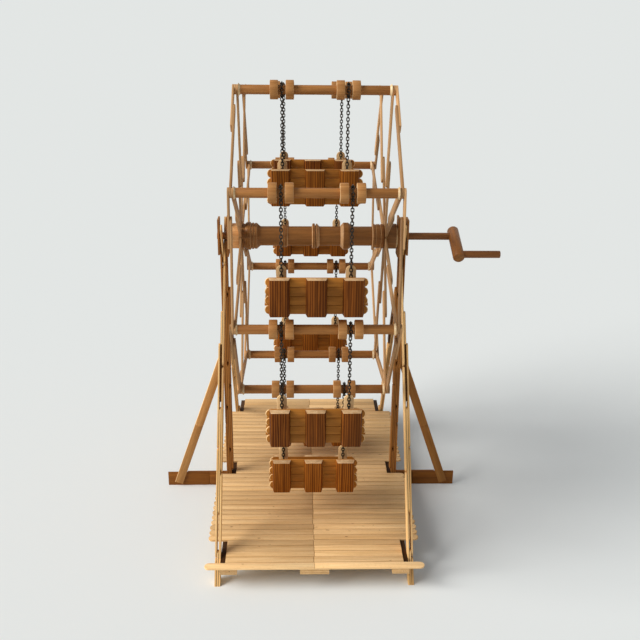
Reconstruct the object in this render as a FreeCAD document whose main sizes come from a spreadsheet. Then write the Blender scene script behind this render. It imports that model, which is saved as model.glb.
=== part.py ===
import FreeCAD, Part
import os
import Sketcher

doc = FreeCAD.newDocument("crank_ferris_wheel_toy")

# Sizes in millimetres and degrees. X runs along the axle to the crank, Y to the back, Z up.
SIZES = (
    # flat wooden sticks
    ("stick_wide", 10),
    ("stick_thick", 2),
    ("stick_long", 114),
    ("seam", 0.2),
    ("broad_wide", 18),
    # wheel
    ("axle_radius", 4),
    ("copies", 8),
    ("phase_turn", 6),
    ("rung_reach", 171),
    ("rung_radius", 4.75),
    ("rung_half", 77),
    ("overhang", 5),
    ("lap", 30),
    ("spoke_inner_end", 62),
    ("spoke_lap_end", 92),
    ("spoke_tip", 4.3),
    # deck
    ("deck_low", 24),
    ("deck_front", -198),
    ("row_pitch", 10),
    ("row_wide", 9.8),
    ("rows", 40),
    ("notch_gap", 1),
    ("runner_high", 6),
    ("centre_runner_half", 15),
    # side frames
    ("frame_gap", 15),
    ("foot_reach", 187),
    ("cradle_drop", 18),
    ("leg_tail", 40.4),
    ("leg_inner_end", 34),
    ("leg_inner_rise", 70),
    ("leg_splice_low", 190),
    ("leg_splice_high", 290),
    ("leg_outer_end", 26),
    ("post_rise", 28),
    ("post_drop", 5),
    ("post_gap", 0.5),
    ("pad_drop", 117),
    ("plate_drop", 22),
    ("outer_plate_drop", 20),
    ("bearing_radius", 4.3),
    # beams, outriggers and braces
    ("beam_y", 9),
    ("beam_past", 18),
    ("outrigger_past", 86),
    ("splice_before", 26),
    ("splice_past", 62),
    ("brace_past", 73),
    ("brace_rise", 4),
    ("brace_lean", 19.2),
    ("brace_y", 5),
    # spindle, collars and crank
    ("spindle_radius", 10.75),
    ("left_bead_radius", 15.5),
    ("left_bead_long", 17),
    ("left_bead_fall", 2.4),
    ("ring_radius", 12.5),
    ("ring_far", 35.4),
    ("ring_near", 28.8),
    ("middle_radius", 14),
    ("middle_left", 4.4),
    ("middle_right", 3.3),
    ("bulb_radius", 15),
    ("bulb_foot", 25.5),
    ("bulb_top", 32),
    ("bulb_end", 41),
    ("right_bead_radius", 13.75),
    ("right_bead_long", 17),
    ("hub_radius", 14),
    ("hub_bore", 4.1),
    ("hub_gap", 0.5),
    ("pin_past", 15),
    ("arm_past", 66),
    ("arm_radius", 6.35),
    ("arm_back", 12),
    ("arm_long", 53),
    ("crank_radius", 34),
    ("crank_drop", 20),
    ("socket", 3),
    ("handle_long", 46),
    # rung collars
    ("collar_radius", 9.5),
    ("collar_long", 8.2),
    ("collar_bore", 4.85),
    ("collar_inner_x", 25.5),
    ("collar_outer_x", 41.3),
    # seats, measured from the rung they hang on
    ("seat_half", 49),
    ("seat_front", -20),
    ("seat_depth", 40),
    ("seat_pitch", 9.1),
    ("seat_gap", 4.639),
    ("deck_gap", 14.6),
    ("bench_rise", 8),
    ("wall_rows", 4),
    ("apron_rows", 2),
    ("batten_wide", 20.5),
    ("batten_face", 17.4),
    ("batten_thick", 8.5),
    ("apron_batten_rise", 15),
    ("batten_pitch", 35),
    ("chain_x", 33.4),
    ("chain_wide", 2.4),
    ("chain_rise", 32.4),
    ("tab_y", 1.2),
    ("tab_rise", 41.9),
    ("loop_inner", 5.1),
    ("loop_outer", 7.5),
    ("loop_wide", 3),
)

sheet = doc.addObject("Spreadsheet::Sheet", "Sizes")

for row, (name, value) in enumerate(SIZES, 1):
    sheet.set(f"A{row}", name)
    sheet.set(f"B{row}", str(value))
    sheet.setAlias(f"B{row}", name)
doc.recompute()

# Heights that follow from the sizes. A seat hangs just short of the collars on the next rung, the axle
# is as high as the lowest seat needs to clear the deck, and the legs cross close below the axle.
chord = "2 * Sizes.rung_reach * sin(180 / Sizes.copies)"
seat_back = "(Sizes.seat_front + Sizes.seat_depth)"
seat_corner = f"({seat_back} + Sizes.batten_thick)"
swing = f"({chord} - Sizes.collar_radius / cos(180 / 8) - Sizes.seat_gap)"
seat_low = f"-sqrt({swing} * {swing} - {seat_corner} * {seat_corner})"
axle_high = f"(Sizes.deck_low + Sizes.stick_thick + Sizes.deck_gap + Sizes.rung_reach - ({seat_low}))"
cross_high = f"({axle_high} - Sizes.cradle_drop)"
post_top = f"{axle_high} - Sizes.post_drop"

# Distances along the axle that follow from the wheel's width: the spindle's ends, the side frames and
# the crank arm.
spindle_half = "(Sizes.rung_half + Sizes.stick_thick)"
frame_in = "(Sizes.rung_half + Sizes.frame_gap)"
arm_x = f"({frame_in} + Sizes.arm_past)"


def origin_part(body, role):
    return next(f for f in body.Origin.OriginFeatures if f.Role == role)


def bind(obj, path, expressions):
    for key, expression in expressions.items():
        obj.setExpression(f".{path}.{key}", expression)


def sketch(body, role, at, turn):
    """A sketch on a plane of the body, moved to `at` (along, across, out of the plane) and turned."""
    sk = body.newObject("Sketcher::SketchObject", f"{body.Name}_outline")
    sk.AttachmentSupport = (origin_part(body, role), [""])
    sk.MapMode = "FlatFace"
    bind(sk, "AttachmentOffset.Base", dict(zip("xyz", at)))
    sk.setExpression(".AttachmentOffset.Rotation.Angle", turn)
    return sk


def draw_loop(sk, points):
    """A closed outline whose corners are held by expressions."""
    first = sk.GeometryCount
    count = len(points)
    for k in range(count):
        start = FreeCAD.Vector(k, k * k, 0)
        end = FreeCAD.Vector(k + 1, (k + 1) ** 2, 0)
        sk.addGeometry(Part.LineSegment(start, end), False)
    for k in range(count):
        sk.addConstraint(Sketcher.Constraint("Coincident", first + k, 2, first + (k + 1) % count, 1))
    for k, corner in enumerate(points):
        for kind, expression in zip(("DistanceX", "DistanceY"), corner):
            index = sk.addConstraint(Sketcher.Constraint(kind, -1, 1, first + k, 1, 1.0))
            sk.setExpression(f"Constraints[{index}]", expression)


def pad(body, sk, thick):
    feature = body.newObject("PartDesign::Pad", f"{body.Name}_pad")
    feature.Profile = sk
    feature.setExpression("Length", thick)
    body.Tip = feature
    return feature


def new_body(name):
    body = doc.addObject("PartDesign::Body", name)
    body.AllowCompound = True
    return body


def end_corners(kind, tip, way, half):
    """Corners of one end of a stick. `way` is 1 at the far end and -1 at the near end."""
    if kind == "round":
        return [
            (f"{tip} - {way} * {half} * (1 - cos({turn}))", f"{way} * {half} * sin({turn})")
            for turn in (-90, -30, 30, 90)
        ]
    if kind == "flat":
        return [(tip, f"-{way} * {half}"), (tip, f"{way} * {half}")]
    return [(f"{tip} + {kind} * -{way} * {half}", f"-{way} * {half}"),
            (f"{tip} + {kind} * {way} * {half}", f"{way} * {half}")]


def sticks(name, spans, at, turn="0", role="YZ_Plane", wide="Sizes.stick_wide"):
    """Sticks laid end to end along one line. Each span is (start, end, near end, far end)."""
    body = new_body(name)
    half = f"{wide} / 2"
    for start, end, near, far in spans:
        sk = sketch(body, role, at, turn)
        draw_loop(sk, end_corners(far, end, 1, half) + end_corners(near, start, -1, half))
        pad(body, sk, "Sizes.stick_thick")
    return body


def run(low, first, full, high, near="round", far="round"):
    """Spans of a row of sticks: a piece up to `first`, then full sticks, then a piece up to `high`."""
    marks = [low] + [f"({first} + {k} * Sizes.stick_long)" for k in range(full + 1)] + [high]
    spans = []
    for k in range(len(marks) - 1):
        last = k == len(marks) - 2
        end = marks[k + 1] if last else f"{marks[k + 1]} - Sizes.seam"
        spans.append((marks[k], end, near if k == 0 else "round", far if last else "round"))
    return spans


def block(name, x, y, z):
    """A box between two planes on each axis."""
    box = doc.addObject("Part::Box", name)
    for side, (low, high) in zip(("Length", "Width", "Height"), (x, y, z)):
        box.setExpression(side, f"{high} - ({low})")
    bind(box, "Placement.Base", {"x": x[0], "y": y[0], "z": z[0]})
    return box


def dowel(name, radius, start, end, at=("0", "0"), role="YZ_Plane"):
    body = new_body(name)
    sk = sketch(body, role, (at[0], at[1], start), "0")
    sk.addGeometry(Part.Circle(FreeCAD.Vector(0, 0, 0), FreeCAD.Vector(0, 0, 1), 1), False)
    sk.addConstraint(Sketcher.Constraint("Coincident", 0, 3, -1, 1))
    index = sk.addConstraint(Sketcher.Constraint("Radius", 0, 1.0))
    sk.setExpression(f"Constraints[{index}]", radius)
    pad(body, sk, f"{end} - ({start})")
    return body


def sided_bar(name, sides, inner_radii, x, at):
    """A bar along X with flat sides, hollow when two radii to the flats are given."""
    body = new_body(name)
    sk = sketch(body, "YZ_Plane", (at[0], at[1], x[0]), "0")
    for radius in inner_radii:
        turns = [(k + 0.5) * 360 / sides - 90 for k in range(sides)]
        draw_loop(sk, [(f"{radius} / cos({180 / sides}) * cos({turn})",
                        f"{radius} / cos({180 / sides}) * sin({turn})") for turn in turns])
    pad(body, sk, f"{x[1]} - ({x[0]})")
    return body


def polar(body):
    """Repeats the body's piece round the axle, once for each rung."""
    pattern = body.newObject("PartDesign::PolarPattern", f"{body.Name}_ring")
    pattern.Originals = [body.Tip]
    pattern.Axis = (origin_part(body, "X_Axis"), [""])
    pattern.Angle = 360
    pattern.setExpression("Occurrences", "Sizes.copies")
    body.Tip = pattern
    return body


def group(name, links):
    compound = doc.addObject("Part::Compound", name)
    compound.Links = links
    return compound


def mirrored(name, source):
    copy = doc.addObject("Part::Mirroring", name)
    copy.Source = source
    copy.Normal = (1, 0, 0)
    copy.Base = (0, 0, 0)
    return copy


def both_sides(name, source):
    return group(name, [source, mirrored(f"{source.Name}_left", source)])


def layer(k):
    """Inner face of the k-th layer of sticks in a side frame."""
    return f"({frame_in} + {k} * Sizes.stick_thick)"


nodes = []

# Deck: rows of planks butted over the centre, notched round the feet of the side frames.
deck_parts = []
for first_row, count, far in ((0, 1, "round"), (1, 4, "flat"), (5, 14, "round"),
                              (19, 3, "flat"), (22, 14, "round"), (36, 4, "flat")):
    reach = "Sizes.stick_long" if far == "round" else f"{layer(1)} - Sizes.notch_gap"
    middle = f"Sizes.deck_front + Sizes.row_wide / 2 + {first_row} * Sizes.row_pitch"
    rows = sticks(f"deck_rows_{first_row}", [("Sizes.seam / 2", reach, "flat", far)],
                  ("0", middle, "Sizes.deck_low"), role="XY_Plane", wide="Sizes.row_wide")
    if count > 1:
        pattern = rows.newObject("PartDesign::LinearPattern", f"{rows.Name}_pattern")
        pattern.Originals = [rows.Tip]
        pattern.Direction = (origin_part(rows, "Y_Axis"), [""])
        pattern.setExpression("Length", f"{count - 1} * Sizes.row_pitch")
        pattern.Occurrences = count
        rows.Tip = pattern
    deck_parts.append(rows)
nodes.append(both_sides("deck_planks", group("deck_half", deck_parts)))

# Runners under the deck, one at each side and one along the centre.
deck_back = "Sizes.deck_front + Sizes.rows * Sizes.row_pitch"
under_deck = ("Sizes.deck_low - Sizes.runner_high", "Sizes.deck_low")
side_runner = block("side_runner", (f"{layer(3)} - Sizes.broad_wide", layer(3)),
                    ("Sizes.deck_front", deck_back), under_deck)
centre_runner = block("centre_runner", ("-Sizes.centre_runner_half", "Sizes.centre_runner_half"),
                      ("Sizes.deck_front", deck_back), under_deck)
nodes.append(group("deck_runners", [side_runner, mirrored("side_runner_left", side_runner), centre_runner]))

# Beams on edge below the runners: a tie between the posts and a board behind it.
board_high = "Sizes.broad_wide"
tie = block("post_tie", (f"-{layer(3)}", layer(3)),
            ("-Sizes.stick_thick / 2", "Sizes.stick_thick / 2"), ("0", board_high))
beam_reach = f"({frame_in} + Sizes.beam_past)"
beam = block("back_board", (f"-{beam_reach}", beam_reach),
             ("Sizes.beam_y", "Sizes.beam_y + Sizes.stick_thick"), ("0", board_high))
nodes.append(group("cross_beams", [tie, beam]))

# Outriggers: a board that carries the beam outward and a splice behind the joint.
outer_board = block("outer_board", (f"{beam_reach} + Sizes.seam", f"{frame_in} + Sizes.outrigger_past"),
                    ("Sizes.beam_y", "Sizes.beam_y + Sizes.stick_thick"), ("0", board_high))
splice = block("splice", (f"{frame_in} - Sizes.splice_before", f"{frame_in} + Sizes.splice_past"),
               ("Sizes.beam_y + Sizes.stick_thick", "Sizes.beam_y + 2 * Sizes.stick_thick"),
               ("0", board_high))
right_outrigger = group("right_outrigger", [outer_board, splice])
nodes += [right_outrigger, mirrored("left_outrigger", right_outrigger)]

# Legs: rows of sticks in three layers that cross below the axle, their feet cut level.
leg_slope = f"(Sizes.foot_reach / {cross_high})"
lean = f"atan(Sizes.foot_reach / {cross_high})"
leg_total = f"{cross_high} / cos({lean}) + Sizes.leg_tail"


def leg(name, main_layer, short_layer, front):
    turn = f"90 deg - {lean}" if front else f"90 deg + {lean}"
    cut = f"-{leg_slope}" if front else leg_slope
    foot = "-Sizes.foot_reach" if front else "Sizes.foot_reach"
    long = "Sizes.stick_long"
    main = run("0", long, 2, leg_total, near=cut)
    short = [("0", "Sizes.leg_inner_end", cut, "round"),
             ("Sizes.leg_inner_rise", f"Sizes.leg_inner_rise + {long}", "round", "round"),
             ("Sizes.leg_splice_low", "Sizes.leg_splice_high", "flat", "round")]
    outer = run("0", "Sizes.leg_outer_end", 1, f"Sizes.leg_outer_end + 2 * {long}", near=cut)
    return group(name, [
        sticks(f"{name}_main", main, (foot, "0", layer(main_layer)), turn),
        sticks(f"{name}_short", short, (foot, "0", layer(short_layer)), turn),
        sticks(f"{name}_outer", outer, (foot, "0", layer(5)), turn),
    ])


right_front_leg = leg("right_front_leg", 3, 4, True)
right_back_leg = leg("right_back_leg", 4, 3, False)
nodes += [right_front_leg, mirrored("left_front_leg", right_front_leg)]
nodes += [right_back_leg, mirrored("left_back_leg", right_back_leg)]

# Posts: four layers, the two middle ones stopping where the legs cross in front of them.
half_span = f"(Sizes.stick_wide / 2 + Sizes.stick_wide / (2 * cos({lean})))"
post_mid_top = f"{cross_high} - {half_span} / tan({lean}) - Sizes.post_gap"
post_layers = []
for k, low, first, high in ((2, "Sizes.post_rise", "Sizes.post_rise + Sizes.stick_long", post_top),
                            (3, "0", "Sizes.stick_long / 2", post_mid_top),
                            (4, "0", "Sizes.stick_long", post_mid_top),
                            (5, "0", "0.8 * Sizes.stick_long", post_top)):
    spans = run(low, first, 1, high, near="round" if k == 2 else "flat", far="flat")
    post_layers.append(sticks(f"post_layer_{k}", spans, ("0", "0", layer(k)), "90"))
pad_low = f"{axle_high} - Sizes.pad_drop"
pad_span = [(pad_low, f"{pad_low} + Sizes.stick_long / 2", "flat", "round")]
post_layers.append(sticks("post_pad", pad_span, ("0", "0", layer(1)), "90"))
right_post = group("right_post", post_layers)
nodes += [right_post, mirrored("left_post", right_post)]

# Bearing plates inside and outside each side frame, bored for the axle.
at_axle = ("0", axle_high)
plates = []
for name, k, drop in (("inner_plate", 1, "Sizes.plate_drop"), ("outer_plate", 6, "Sizes.outer_plate_drop")):
    blank = block(f"{name}_blank", (layer(k), layer(k + 1)),
                  ("-Sizes.broad_wide / 2", "Sizes.broad_wide / 2"),
                  (f"{axle_high} - {drop}", f"{axle_high} + {drop}"))
    drill = dowel(f"{name}_drill", "Sizes.bearing_radius", layer(k - 1), layer(k + 2), at_axle)
    plate = doc.addObject("Part::Cut", name)
    plate.Base = blank
    plate.Tool = drill
    plates.append(plate)
nodes.append(both_sides("bearing_plates", group("plates_half", plates)))

# Braces: two lapped sticks from each outrigger up to the back of the post.
brace_end = "2 * Sizes.stick_long - Sizes.lap"
brace_foot = f"{frame_in} + Sizes.brace_past"
lower = sticks("brace_lower", [("0", "Sizes.stick_long", "round", "round")],
               (brace_foot, "Sizes.brace_rise", "-(Sizes.brace_y + 2 * Sizes.stick_thick)"),
               "90 + Sizes.brace_lean", role="XZ_Plane")
upper = sticks("brace_upper", [(f"{brace_end} - Sizes.stick_long", brace_end, "round", "round")],
               (brace_foot, "Sizes.brace_rise", "-(Sizes.brace_y + Sizes.stick_thick)"),
               "90 + Sizes.brace_lean", role="XZ_Plane")
right_brace = group("right_brace", [lower, upper])
nodes += [right_brace, mirrored("left_brace", right_brace)]


def on_wheel(obj):
    """Puts a piece drawn round the origin, with its first rung straight ahead, on the wheel."""
    obj.Placement = FreeCAD.Placement(FreeCAD.Vector(0, 0, 1), FreeCAD.Rotation(FreeCAD.Vector(1, 0, 0), -1))
    obj.setExpression(".Placement.Base.z", axle_high)
    obj.setExpression(".Placement.Rotation.Angle", "-(Sizes.phase_turn + 180 / Sizes.copies)")
    return obj


# Spokes: an outer stick from each rung inward, lapped on an inner stick pointed at the axle.
rim_face = "Sizes.rung_half"
spoke_outer = polar(sticks("spoke_outer", [("Sizes.spoke_inner_end", "Sizes.rung_reach + Sizes.overhang",
                                            "round", "round")], ("0", "0", rim_face), "180"))
spoke_inner = new_body("spoke_inner")
spoke_sketch = sketch(spoke_inner, "YZ_Plane", ("0", "0", f"{rim_face} + Sizes.stick_thick"), "180")
half = "Sizes.stick_wide / 2"
slope = "tan(180 / Sizes.copies)"
shoulder = f"{half} / {slope} + 2 * Sizes.seam"
tip_half = f"(Sizes.spoke_tip * {slope} - Sizes.seam)"
draw_loop(spoke_sketch, end_corners("round", "Sizes.spoke_lap_end", 1, half) + [
    (shoulder, half), ("Sizes.spoke_tip", tip_half),
    ("Sizes.spoke_tip", f"-{tip_half}"), (shoulder, f"-{half}")])
pad(spoke_inner, spoke_sketch, "Sizes.stick_thick")
polar(spoke_inner)
right_spokes = on_wheel(group("right_spokes", [spoke_outer, spoke_inner]))
nodes += [right_spokes, mirrored("left_spokes", right_spokes)]

# Rims: along each side of the octagon a full stick from one rung and a short one from the next.
short_start = f"{chord} + Sizes.overhang - ({chord} + 2 * Sizes.overhang - Sizes.stick_long + Sizes.lap)"
chord_turn = "90 - 180 / Sizes.copies"
long_span = ("-Sizes.overhang", "Sizes.stick_long - Sizes.overhang", "round", "round")
rim_long = polar(sticks("rim_long", [long_span],
                        ("-Sizes.rung_reach", "0", f"{rim_face} + Sizes.stick_thick"), chord_turn))
rim_short = polar(sticks("rim_short", [(short_start, f"{chord} + Sizes.overhang", "flat", "round")],
                         ("-Sizes.rung_reach", "0", f"{rim_face} + 2 * Sizes.stick_thick"), chord_turn))
right_rim = on_wheel(group("right_rim", [rim_long, rim_short]))
nodes += [right_rim, mirrored("left_rim", right_rim)]

# Rungs between the rims, each with two pairs of eight-sided collars that keep the hangers in place.
rung = polar(dowel("rung", "Sizes.rung_radius", "-Sizes.rung_half", "Sizes.rung_half",
                   ("-Sizes.rung_reach", "0")))
nodes.append(on_wheel(group("rungs", [rung])))
collar_pair = []
for name, middle in (("collar_inner", "Sizes.collar_inner_x"), ("collar_outer", "Sizes.collar_outer_x")):
    ends = (f"{middle} - Sizes.collar_long / 2", f"{middle} + Sizes.collar_long / 2")
    radii = ("Sizes.collar_radius", "Sizes.collar_bore")
    collar_pair.append(polar(sided_bar(name, 8, radii, ends, ("-Sizes.rung_reach", "0"))))
nodes.append(on_wheel(both_sides("rung_collars", group("collars_half", collar_pair))))

# Spindle: one turned piece with beads, rings and a bulb.
spindle = new_body("spindle")
spindle_sketch = sketch(spindle, "XY_Plane", ("0", "0", "0"), "0")
body_radius = "Sizes.spindle_radius"
left_bead_end = f"({spindle_half} - Sizes.left_bead_long)"
right_bead_end = f"({spindle_half} - Sizes.right_bead_long)"
stations = [
    (f"-{spindle_half}", "Sizes.left_bead_radius"), (f"-{left_bead_end}", "Sizes.left_bead_radius"),
    (f"-({left_bead_end} - Sizes.left_bead_fall)", body_radius),
    ("-Sizes.ring_far", body_radius), ("-Sizes.ring_far", "Sizes.ring_radius"),
    ("-Sizes.ring_near", "Sizes.ring_radius"), ("-Sizes.ring_near", body_radius),
    ("-Sizes.middle_left", body_radius), ("-Sizes.middle_left", "Sizes.middle_radius"),
    ("Sizes.middle_right", "Sizes.middle_radius"), ("Sizes.middle_right", body_radius),
    ("Sizes.bulb_foot", body_radius), ("Sizes.bulb_top", "Sizes.bulb_radius"),
    ("Sizes.bulb_end", body_radius),
    (right_bead_end, body_radius), (right_bead_end, "Sizes.right_bead_radius"),
    (spindle_half, "Sizes.right_bead_radius"),
]
draw_loop(spindle_sketch, [(stations[0][0], "0"), (stations[-1][0], "0")] + stations[::-1])
turned = spindle.newObject("PartDesign::Revolution", "spindle_turned")
turned.Profile = spindle_sketch
turned.ReferenceAxis = (origin_part(spindle, "X_Axis"), [""])
turned.Angle = 360
spindle.Tip = turned
spindle.setExpression(".Placement.Base.z", axle_high)
nodes.append(spindle)

# Axle: a pin at the left, the crank shaft at the right, and a collar at each hub.
nodes.append(dowel("axle_pin", "Sizes.axle_radius", f"-({frame_in} + Sizes.pin_past)",
                   f"-{spindle_half}", at_axle))
shaft_end = f"{arm_x} + Sizes.socket"
crank_shaft = dowel("crank_shaft", "Sizes.axle_radius", spindle_half, shaft_end, at_axle)
nodes.append(crank_shaft)
hub = new_body("hub_collar")
hub_in = f"{spindle_half} + Sizes.stick_thick"
hub_sketch = sketch(hub, "YZ_Plane", (*at_axle, hub_in), "0")
for k, radius in enumerate(("Sizes.hub_radius", "Sizes.hub_bore")):
    hub_sketch.addGeometry(Part.Circle(FreeCAD.Vector(0, 0, 0), FreeCAD.Vector(0, 0, 1), 3 - k), False)
    hub_sketch.addConstraint(Sketcher.Constraint("Coincident", k, 3, -1, 1))
    index = hub_sketch.addConstraint(Sketcher.Constraint("Radius", k, 3.0 - k))
    hub_sketch.setExpression(f"Constraints[{index}]", radius)
pad(hub, hub_sketch, f"{layer(1)} - Sizes.hub_gap - ({hub_in})")
nodes.append(both_sides("hub_collars", hub))

# Crank: a thick dowel across the shaft, with a thin dowel as its handle.
handle_y = "-Sizes.crank_radius * cos(Sizes.crank_drop)"
handle_z = f"{axle_high} - Sizes.crank_radius * sin(Sizes.crank_drop)"
handle = dowel("crank_handle", "Sizes.axle_radius", f"{arm_x} - Sizes.socket", f"{arm_x} + Sizes.handle_long",
               (handle_y, handle_z))
arm = doc.addObject("Part::Cylinder", "arm_blank")
arm.setExpression("Radius", "Sizes.arm_radius")
arm.setExpression("Height", "Sizes.arm_long")
arm.Placement = FreeCAD.Placement(FreeCAD.Vector(), FreeCAD.Rotation(FreeCAD.Vector(1, 0, 0), 90))
bind(arm, "Placement.Base", {"x": arm_x,
                             "y": "Sizes.arm_back * cos(Sizes.crank_drop)",
                             "z": f"{axle_high} + Sizes.arm_back * sin(Sizes.crank_drop)"})
arm.setExpression(".Placement.Rotation.Angle", "90 + Sizes.crank_drop")
crank_arm = doc.addObject("Part::Cut", "crank_arm")
crank_arm.Base = arm
crank_arm.Tool = group("arm_sockets", [crank_shaft, handle])
nodes += [crank_arm, handle]

# Seat, drawn once below a rung: a wall and an apron of sticks, a bench, tabs and battens.
across = ("-Sizes.seat_half", "Sizes.seat_half")
wood = []
for name, count, y in (("wall", "wall_rows", "Sizes.seat_front"),
                       ("apron", "apron_rows", f"{seat_back} - Sizes.stick_thick")):
    for k in range(int(sheet.get(count))):
        middle = f"{seat_low} + {k + 0.5} * Sizes.seat_pitch"
        wood.append(sticks(f"{name}_stick_{k}", [(*across, "round", "round")],
                           ("0", middle, f"-({y} + Sizes.stick_thick)"),
                           role="XZ_Plane", wide="(Sizes.seat_pitch - Sizes.seam)"))
bench_low = f"{seat_low} + Sizes.bench_rise"
bench = (bench_low, f"{bench_low} + Sizes.stick_thick")
tab_back = "Sizes.tab_y + Sizes.stick_thick"
wood.append(block("bench_front", across, ("Sizes.seat_front + Sizes.stick_thick", "Sizes.tab_y"), bench))
wood.append(block("bench_back", across, (tab_back, f"{seat_back} - Sizes.stick_thick"), bench))
tab = sticks("tab", [(seat_low, f"{seat_low} + Sizes.tab_rise", "flat", "round")],
             ("Sizes.chain_x", "0", f"-({tab_back})"), "90", role="XZ_Plane")
wood.append(both_sides("tabs", tab))


def batten(name, middle, wall_y, face_y, rise):
    """An upright batten with slanted sides, wide against the wall and narrower at its face."""
    body = new_body(name)
    sk = sketch(body, "XY_Plane", ("0", "0", seat_low), "0")
    draw_loop(sk, [(f"{middle} + {way} * Sizes.{width} / 2", y)
                   for way, width, y in ((-1, "batten_wide", wall_y), (1, "batten_wide", wall_y),
                                         (1, "batten_face", face_y), (-1, "batten_face", face_y))])
    pad(body, sk, rise)
    return body


battens = []
for k in (-1, 0, 1):
    middle = f"{k} * Sizes.batten_pitch"
    battens.append(batten(f"wall_batten_{k + 1}", middle, "Sizes.seat_front",
                          "Sizes.seat_front - Sizes.batten_thick", "Sizes.wall_rows * Sizes.seat_pitch"))
    battens.append(batten(f"apron_batten_{k + 1}", middle, seat_back, seat_corner,
                          "Sizes.apron_batten_rise"))

# Chains: a closed loop round the rung on each side, with a strand below it down to the tab.
strand = block("strand", ("Sizes.chain_x - Sizes.chain_wide / 2", "Sizes.chain_x + Sizes.chain_wide / 2"),
               ("Sizes.tab_y - Sizes.chain_wide", "Sizes.tab_y"),
               (f"{seat_low} + Sizes.chain_rise", "-Sizes.loop_outer"))
loop_x = ("Sizes.chain_x - Sizes.loop_wide / 2", "Sizes.chain_x + Sizes.loop_wide / 2")
loop = sided_bar("loop", 6, ("Sizes.loop_outer", "Sizes.loop_inner"), loop_x, ("0", "0"))
chain = both_sides("chain_pair", strand)
loops = both_sides("loop_pair", loop)

# The eight seats hang level below their rungs.
for number in range(1, int(sheet.get("copies")) + 1):
    turn = f"(Sizes.phase_turn + {number - 0.5} * 360 / Sizes.copies)"
    rung_place = {"y": f"-Sizes.rung_reach * cos({turn})",
                  "z": f"{axle_high} + Sizes.rung_reach * sin({turn})"}
    for suffix, links in (("", wood), ("_battens", battens), ("_chains", [chain]), ("_loops", [loops])):
        part = group(f"seat_{number}{suffix}", links)
        bind(part, "Placement.Base", rung_place)
        nodes.append(part)

doc.recompute()
for obj in doc.Objects:
    if "Invalid" in obj.State or "Error" in obj.State:
        raise RuntimeError(f"{obj.Name} did not recompute: {obj.State}")
    if hasattr(obj, "Shape") and (obj.Shape.isNull() or not obj.Shape.isValid()):
        raise RuntimeError(f"{obj.Name} has no valid shape")

os.makedirs("parts", exist_ok=True)
for node in nodes:
    node.Shape.exportStep(f"parts/{node.Label}.step")
print(f"{len(nodes)} parts exported")
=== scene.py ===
import math
import random

import bmesh
import bpy
from mathutils import Matrix, Vector


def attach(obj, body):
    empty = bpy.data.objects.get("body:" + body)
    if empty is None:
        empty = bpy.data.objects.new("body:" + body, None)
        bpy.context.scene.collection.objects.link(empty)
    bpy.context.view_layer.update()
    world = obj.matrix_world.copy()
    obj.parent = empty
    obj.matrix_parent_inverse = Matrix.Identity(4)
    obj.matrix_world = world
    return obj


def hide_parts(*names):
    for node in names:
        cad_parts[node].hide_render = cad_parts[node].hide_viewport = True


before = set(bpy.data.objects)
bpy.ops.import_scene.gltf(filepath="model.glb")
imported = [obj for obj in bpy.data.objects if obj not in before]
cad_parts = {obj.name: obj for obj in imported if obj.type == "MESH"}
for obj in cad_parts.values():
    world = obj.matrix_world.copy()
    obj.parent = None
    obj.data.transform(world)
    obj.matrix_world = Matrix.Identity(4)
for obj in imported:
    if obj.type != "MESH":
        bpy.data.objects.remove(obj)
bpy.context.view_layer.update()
scene = bpy.context.scene


# Camera: a 50 mm lens a metre in front of the toy and a little above it, looking down on the deck.
# It is turned by pitch, yaw and roll, and stands so that the toy fills the frame from foot to rim.
pitch, yaw, roll = math.radians(20.553), math.radians(1.684), math.radians(0.596)
camera_place = (-0.01966, -0.9593, 0.5835)
focus_pixels, frame_pixels, sensor_wide = 885.3, 640, 36
forward = Vector((math.sin(yaw) * math.cos(pitch), math.cos(yaw) * math.cos(pitch), -math.sin(pitch)))
level = Vector((math.cos(yaw), -math.sin(yaw), 0))
upright = level.cross(forward)
side = math.cos(roll) * level + math.sin(roll) * upright
top = -math.sin(roll) * level + math.cos(roll) * upright
camera = bpy.data.objects.new("camera", bpy.data.cameras.new("camera"))
camera.data.sensor_width = sensor_wide
camera.data.lens = focus_pixels / frame_pixels * sensor_wide
camera.data.clip_end = 200
camera.matrix_world = Matrix((side, top, -forward)).transposed().to_4x4()
camera.matrix_world.translation = camera_place
scene.collection.objects.link(camera)
scene.camera = camera
scene.view_settings.view_transform = "Standard"


# Floor, sky and lamp: a pale painted floor that runs to the horizon, an even pale sky, and one broad
# soft lamp from the left, a little in front and above. Seen directly or mirrored, the sky is a plain
# pale backdrop.
floor_radius = 90
sky_strength, backdrop_strength, lamp_strength, lamp_spread = 0.34, 1.0, 4.0, math.radians(42)
lamp_from, warm_white = (-0.86, -0.22, 0.54), (1.0, 0.975, 0.94)


def paint(code):
    """Linear colour from an sRGB hex code."""
    parts = [int(code[k:k + 2], 16) / 255 for k in (1, 3, 5)]
    return [p / 12.92 if p <= 0.04045 else ((p + 0.055) / 1.055) ** 2.4 for p in parts] + [1]


def add_node(tree, kind, links=(), stops=(), **values):
    """Adds a shader node, sets its properties, inputs and colour stops, and joins its inputs."""
    node = tree.nodes.new(kind)
    for key, value in values.items():
        setattr(node, key, value)
    for socket, value in links:
        if isinstance(value, bpy.types.NodeSocket):
            tree.links.new(value, node.inputs[socket])
        else:
            node.inputs[socket].default_value = value
    for number, (position, colour) in enumerate(stops):
        node.color_ramp.elements[number].position = position
        node.color_ramp.elements[number].color = colour
    return node


floor_mesh = bpy.data.meshes.new("floor")
disc = bmesh.new()
bmesh.ops.create_circle(disc, cap_ends=True, segments=96, radius=floor_radius)
disc.to_mesh(floor_mesh)
disc.free()
floor = bpy.data.objects.new("floor", floor_mesh)
scene.collection.objects.link(floor)
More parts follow.
